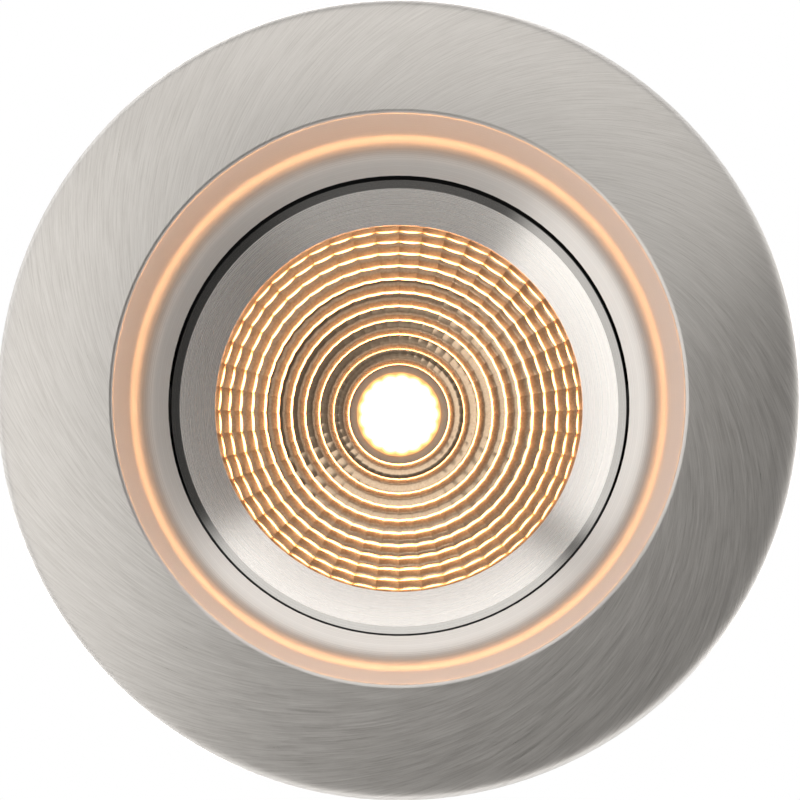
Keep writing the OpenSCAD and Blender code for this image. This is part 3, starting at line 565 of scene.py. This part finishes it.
def ring_metal():
    """Turned funnel, a smoother bevel painted darker as painted shade, and black painted shade on the ball's
    outside.
    """
    g = material("turned_ring")
    p = Place(g)
    lines = g.lines(p.r, RING_PITCH)
    on_bevel = g.step(p.r, *BEVEL_BEGIN)
    reach = g.vector("DISTANCE", p.at, (0.0, 0.0, PIVOT_Z), out="Value")
    # Painted shade: black on the ball's outside
    in_ball_shade = g.step(reach, *BALL_SHADE_BEGIN)
    # Painted shade: the bevel is darker than the funnel
    shade = g.mix(on_bevel, g.between(lines, *RING_SHADES), colour(BEVEL_PAINTED_SHADE))
    shade = g.mix(in_ball_shade, shade, colour(BALL_PAINTED_SHADE))
    rough = g.mix(on_bevel, g.remap(lines, 0.3, 0.7, *RING_ROUGH), BEVEL_ROUGH, "FLOAT")
    rough = g.math("MAXIMUM", rough, g.math("MULTIPLY", in_ball_shade, BALL_SHADE_ROUGH))
    tangent = g.node("Tangent", direction_type="RADIAL", axis="Z")
    return g.finish(g.principled(Base_Color=shade, Metallic=1.0, Roughness=rough, Anisotropic=0.6,
                                 Anisotropic_Rotation=0.25, Tangent=tangent.outputs[0],
                                 Normal=g.bump(lines, 0.2, 0.02)))


def reflector_metal():
    """Bright metal with a slight haze, tinted orange as painted light from the lit disc's glow."""
    g = material("bright_reflector")
    cloud = g.noise(g.point(), 3.0, 3.0, 0.6)
    shade = g.between(cloud, *MIRROR_PAINTED_WARM_LIGHT, low=0.35, high=0.65)
    mirror = g.principled(Base_Color=shade, Metallic=1.0, Roughness=MIRROR_ROUGH)
    haze = g.principled(Base_Color=shade, Metallic=1.0, Roughness=HAZE_ROUGH)
    share = g.remap(cloud, 0.3, 0.7, *HAZE_SHARE)
    return g.finish(g.node("MixShader", {0: share, 1: mirror.outputs[0], 2: haze.outputs[0]}))


def glass_clear():
    """Clear glass. Only the camera's own rays bend in it, so that the lamp's light passes straight."""
    g = material("clear_glass")
    glass = g.principled(Base_Color=colour(GLASS_SHADE), Roughness=0.0, IOR=1.47, Transmission_Weight=1.0)
    tint = g.between(g.noise(g.point(), 0.4, 3.0, 0.6), *GLASS_TINTS)
    clear = g.node("BsdfTransparent", {"Color": tint})
    path = g.node("LightPath").outputs["Is Camera Ray"]
    return g.finish(g.node("MixShader", {0: path, 1: clear.outputs[0], 2: glass.outputs[0]}))


def phosphor_glow():
    """The lit disc: white hot over the chips, yellow and orange round them."""
    g = material("lit_phosphor")
    p = Place(g)
    turn = g.math("ARCTAN2", p.y, p.x)
    wave = g.math("ABSOLUTE", g.math("SINE", g.math("MULTIPLY", turn, LOBES / 2)))
    lobes = g.math("MULTIPLY", wave, LOBE_DEPTH)
    share = g.math("DIVIDE", g.math("SUBTRACT", p.r, g.math("SUBTRACT", lobes, EDGE_INSET)), PHOSPHOR_R)
    power = g.remap(share, *GLOW_EDGE, *GLOW_POWER, "SMOOTHSTEP")
    return g.finish(g.principled(Base_Color=colour(PHOSPHOR_SHADE), Roughness=0.6,
                                 Emission_Color=g.ramp(share, GLOW_COLOURS), Emission_Strength=power))


# ---------------------------------------------------------------- plainer finishes

# A roughness varies by this share of itself
ROUGH_SPREAD = 0.15


def plain(name, light, dark, rough, metallic=0.0, scale=2.0, relief=0.01):
    """A finish whose colour and relief vary finely: moulded plastic, rubber, cast or rolled metal."""
    g = material(name)
    at = g.point()
    grain = g.noise(at, scale, 4.0, 0.6)
    wide = g.noise(at, 0.15, 2.0, 0.5)
    mixed = g.math("ADD", g.math("MULTIPLY", grain, 0.7), g.math("MULTIPLY", wide, 0.3))
    shade = g.between(mixed, dark, light, low=0.35, high=0.65)
    roughness = g.remap(grain, 0.3, 0.7, rough * (1 - ROUGH_SPREAD), min(1.0, rough * (1 + ROUGH_SPREAD)))
    return g.finish(g.principled(Base_Color=shade, Metallic=metallic, Roughness=roughness,
                                 Normal=g.bump(grain, 0.5, relief)))


paint(["trim_ring"], trim_metal())
paint(["head_ring"], ring_metal())
paint(["cover_glass"], glass_clear())
paint(["led_phosphor"], phosphor_glow())
paint(["side_bracket_left", "side_bracket_right", "clip_arm_left", "clip_arm_right"],
      plain("zinc_sheet", (0.68, 0.69, 0.70), (0.56, 0.57, 0.59), rough=0.32, metallic=1.0, scale=0.6))
paint(["bracket_screws", "clip_pin_left", "clip_pin_right", "retaining_rings", "housing_screws",
       "holder_screws"],
      plain("zinc_screws", (0.72, 0.72, 0.70), (0.60, 0.60, 0.58), rough=0.26, metallic=1.0, scale=1.5))
paint(["ceiling_gasket"],
      plain("foam", (0.06, 0.06, 0.06), (0.03, 0.03, 0.03), rough=0.9, scale=6.0, relief=0.05))
paint(["clip_sleeve_left", "clip_sleeve_right", "cable_grommet"],
      plain("black_rubber", (0.035, 0.035, 0.035), (0.02, 0.02, 0.02), rough=0.55, scale=4.0))
paint(["friction_washers"], plain("black_nylon", (0.02, 0.02, 0.02), (0.012, 0.012, 0.012), rough=0.5))
paint(["glass_seal"], plain("silicone", (0.80, 0.80, 0.78), (0.72, 0.72, 0.70), rough=0.45))
paint(["lamp_housing", "heat_sink"],
      plain("blasted_aluminium", (0.50, 0.50, 0.51), (0.40, 0.40, 0.41), rough=0.48, metallic=1.0, scale=8.0,
            relief=0.015))
paint(["led_holder"], plain("white_holder", (0.86, 0.86, 0.84), (0.80, 0.80, 0.78), rough=0.35))
paint(["led_board"], plain("ceramic_board", (0.86, 0.72, 0.60), (0.78, 0.64, 0.52), rough=0.5, scale=3.0))
paint(["thermal_pad"], plain("graphite_pad", (0.20, 0.21, 0.23), (0.14, 0.15, 0.16), rough=0.6))


# ---------------------------------------------------------------- reflector

COLUMNS = 48
ROWS = 11
# Above 1, the rows widen towards the hole
ROW_POWER = 1.2
# Points along each side of a facet, and along the back of the bowl
FACET_STEPS = 8
BACK_STEPS = 8
# How much further than needed a facet turns along the slope, and the radius of its bulge around the bowl
BULGE_MARGIN = math.radians(5.5)
COLUMN_CURVE = 8.0


def bowl_r(h):
    return math.sqrt(HOLE_R ** 2 + (BOWL_R ** 2 - HOLE_R ** 2) * (1 - h / BOWL_DEPTH))


def row_r(i):
    return BOWL_R - (BOWL_R - HOLE_R) * (i / ROWS) ** ROW_POWER


def row_h(i):
    return BOWL_DEPTH * (BOWL_R ** 2 - row_r(i) ** 2) / (BOWL_R ** 2 - HOLE_R ** 2)


def bowl_slope(r):
    return math.atan2(2 * BOWL_DEPTH * r, BOWL_R ** 2 - HOLE_R ** 2)


def arch(share):
    """0 at both ends and 1 in the middle."""
    return 4 * share * (1 - share)


def row_lift_of(i):
    """Height of a facet's bulge. It turns far enough along the slope to mirror the lit disc to the front."""
    r = (row_r(i) + row_r(i + 1)) / 2
    lamp = math.atan2(BOWL_DEPTH - (row_h(i) + row_h(i + 1)) / 2, r)
    turn = math.pi / 4 + lamp / 2 - bowl_slope(r) + BULGE_MARGIN
    length = math.hypot(row_r(i) - row_r(i + 1), row_h(i + 1) - row_h(i))
    return length * math.tan(turn) / 4


def front_rings():
    """Rings down the facets: radius, height, the bowl's slope, the bulge, and whether it is a row's edge."""
    rings = []
    for i in range(ROWS):
        for j in range(FACET_STEPS + (i == ROWS - 1)):
            v = j / FACET_STEPS
            r = row_r(i) + (row_r(i + 1) - row_r(i)) * v
            h = row_h(i) + (row_h(i + 1) - row_h(i)) * v
            rings.append((r, h, bowl_slope(r), arch(v) * row_lift_of(i), j % FACET_STEPS == 0))
    return rings


def facet_ring(r, h, slope, row_lift):
    """Points round the bowl, on chords between the columns' edges, lifted inwards by both bulges."""
    column_lift = (2 * r * math.sin(math.pi / COLUMNS)) ** 2 / (8 * COLUMN_CURVE)
    points = []
    for k in range(COLUMNS):
        a0, a1 = (2 * math.pi * (k + s) / COLUMNS for s in (0, 1))
        middle = (a0 + a1) / 2
        for m in range(FACET_STEPS):
            u = m / FACET_STEPS
            chord_x = r * (math.cos(a0) * (1 - u) + math.cos(a1) * u)
            chord_y = r * (math.sin(a0) * (1 - u) + math.sin(a1) * u)
            lift = row_lift + column_lift * arch(u)
            inward = lift * math.sin(slope)
            points.append((chord_x - inward * math.cos(middle), chord_y - inward * math.sin(middle),
                           RIM_Z + h - lift * math.cos(slope)))
    return points


def build_reflector():
    """Bowl of convex facets, rounder along the bowl's slope than around it."""
    front = front_rings()
    # Back of the bowl: rim, then the outer side down to the hole
    back = [(RIM_R, 0.0), (RIM_R, RIM_T)]
    for i in range(BACK_STEPS + 1):
        h = RIM_T + (BOWL_DEPTH - RIM_T) * i / BACK_STEPS
        back.append((bowl_r(h) + BOWL_WALL, h))

    count = COLUMNS * FACET_STEPS
    inner, last = len(front), len(front) + len(back) - 1
    points, faces = [], []
    for r, h, slope, row_lift, _ in front:
        points += facet_ring(r, h, slope, row_lift)
    for r, h in back:
        points += circle(r, RIM_Z + h, count)
    for i in range(inner - 1):
        faces += band(i, i + 1, count)
    for i in range(inner, last):
        faces += band(i + 1, i, count)
    faces += band(inner, 0, count) + band(inner - 1, last, count)
    obj = new_mesh("faceted_reflector", np.array(points) * MM, faces, True)

    # Sharp edges: along the rows' edges, the rim's and the hole's, and along the columns' edges inside the bowl
    sharp_back = [True, True, True] + [False] * (len(back) - 4) + [True]
    sharp_ring = np.array([edge for *_, edge in front] + sharp_back)
    mesh = obj.data
    ends = np.zeros(len(mesh.edges) * 2, int)
    mesh.edges.foreach_get("vertices", ends)
    ring_of, spot = np.divmod(ends.reshape(-1, 2), count)
    same_ring = ring_of[:, 0] == ring_of[:, 1]
    same_spot = spot[:, 0] == spot[:, 1]
    column_edge = (spot[:, 0] % FACET_STEPS == 0) & (ring_of.max(axis=1) < inner)
    sharp = (same_ring & sharp_ring[ring_of[:, 0]]) | (same_spot & column_edge)
    mesh.edges.foreach_set("use_edge_sharp", sharp)
    mesh.update()
    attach(obj, "head")
    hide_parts("reflector")
    paint([obj], reflector_metal())


build_reflector()


# ---------------------------------------------------------------- springs

# Sizes of the CAD model, in millimetres
WIRE_R = 0.4
COIL_R = 2.1
TURNS = 5
TURN_PITCH = 1.25
ARM_SLOPE = math.radians(24)
ARM_T = 1.0
SEAT_FIT = 0.1
# The leg on the bracket: the heights of its ends over the pin. The leg on the arm: its ends along the arm
FIXED_LEG = (6.6, 0.4)
ARM_LEG_START = 4.6
ARM_LEG_END = 9.4
STEPS_PER_TURN = 28
WIRE_SIDES = 12


def spring_path():
    """The wire's centre line in the right-hand clip's frame: x outwards, z up, the pin along y."""
    arm_dir = np.array((math.sin(ARM_SLOPE), 0, -math.cos(ARM_SLOPE)))
    arm_out = np.array((math.cos(ARM_SLOPE), 0, math.sin(ARM_SLOPE)))
    lift = ARM_T / 2 + WIRE_R + SEAT_FIT
    lean = math.atan2(lift, ARM_LEG_START) + math.asin(COIL_R / math.hypot(ARM_LEG_START, lift))
    end = math.pi + 2 * math.pi * TURNS + ARM_SLOPE + lean
    length = TURN_PITCH * (end - math.pi) / (2 * math.pi)
    steps = STEPS_PER_TURN * TURNS
    # The straight leg on the bracket, the turns round the pin, the way to the arm, and the leg along the arm
    path = [np.array((-COIL_R, -length / 2, h)) for h in np.linspace(*FIXED_LEG, 6)]
    for i in range(steps + 1):
        a = math.pi + (end - math.pi) * i / steps
        path.append(np.array((COIL_R * math.cos(a), -length / 2 + length * i / steps, COIL_R * math.sin(a))))
    last = path[-1]
    bend = ARM_LEG_START * arm_dir + lift * arm_out
    tip = ARM_LEG_END * arm_dir + lift * arm_out
    bend[1] = tip[1] = length / 2
    path += [last + (bend - last) * share for share in np.linspace(0.1, 0.9, 7)]
    path += [bend + (tip - bend) * share for share in np.linspace(0.06, 1.0, 7)]
    return path, length


def tube(path, r, sides):
    """Points and faces of a closed round tube along a path."""
    path = np.array(path)
    heading = np.gradient(path, axis=0)
    heading /= np.linalg.norm(heading, axis=1)[:, None]
    points = []
    for p, d in zip(path, heading):
        side = np.cross((0.0, 1.0, 0.0), d)
        side /= np.linalg.norm(side)
        other = np.cross(d, side)
        for k in range(sides):
            a = 2 * math.pi * k / sides
            points.append(p + r * (math.cos(a) * side + math.sin(a) * other))
    faces = []
    for i in range(len(path) - 1):
        faces += band(i, i + 1, sides)
    faces.append(tuple(range(sides))[::-1])
    faces.append(tuple((len(path) - 1) * sides + k for k in range(sides)))
    return np.array(points), faces


def build_springs():
    path, length = spring_path()
    points, faces = tube(path, WIRE_R, WIRE_SIDES)
    wire = plain("spring_wire", (0.52, 0.52, 0.51), (0.40, 0.40, 0.39), rough=0.30, metallic=1.0, scale=1.2)
    for side, name in ((-1, "left"), (1, "right")):
        placed = points * (side, 1, 1) + (side * CLIP_X, 0, CLIP_Z)
        outwards = faces if side < 0 else [f[::-1] for f in faces]
        obj = new_mesh("torsion_spring_" + name, placed * MM, outwards, True)
        paint([obj], wire)
        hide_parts("clip_spring_" + name)
        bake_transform(obj)


build_springs()
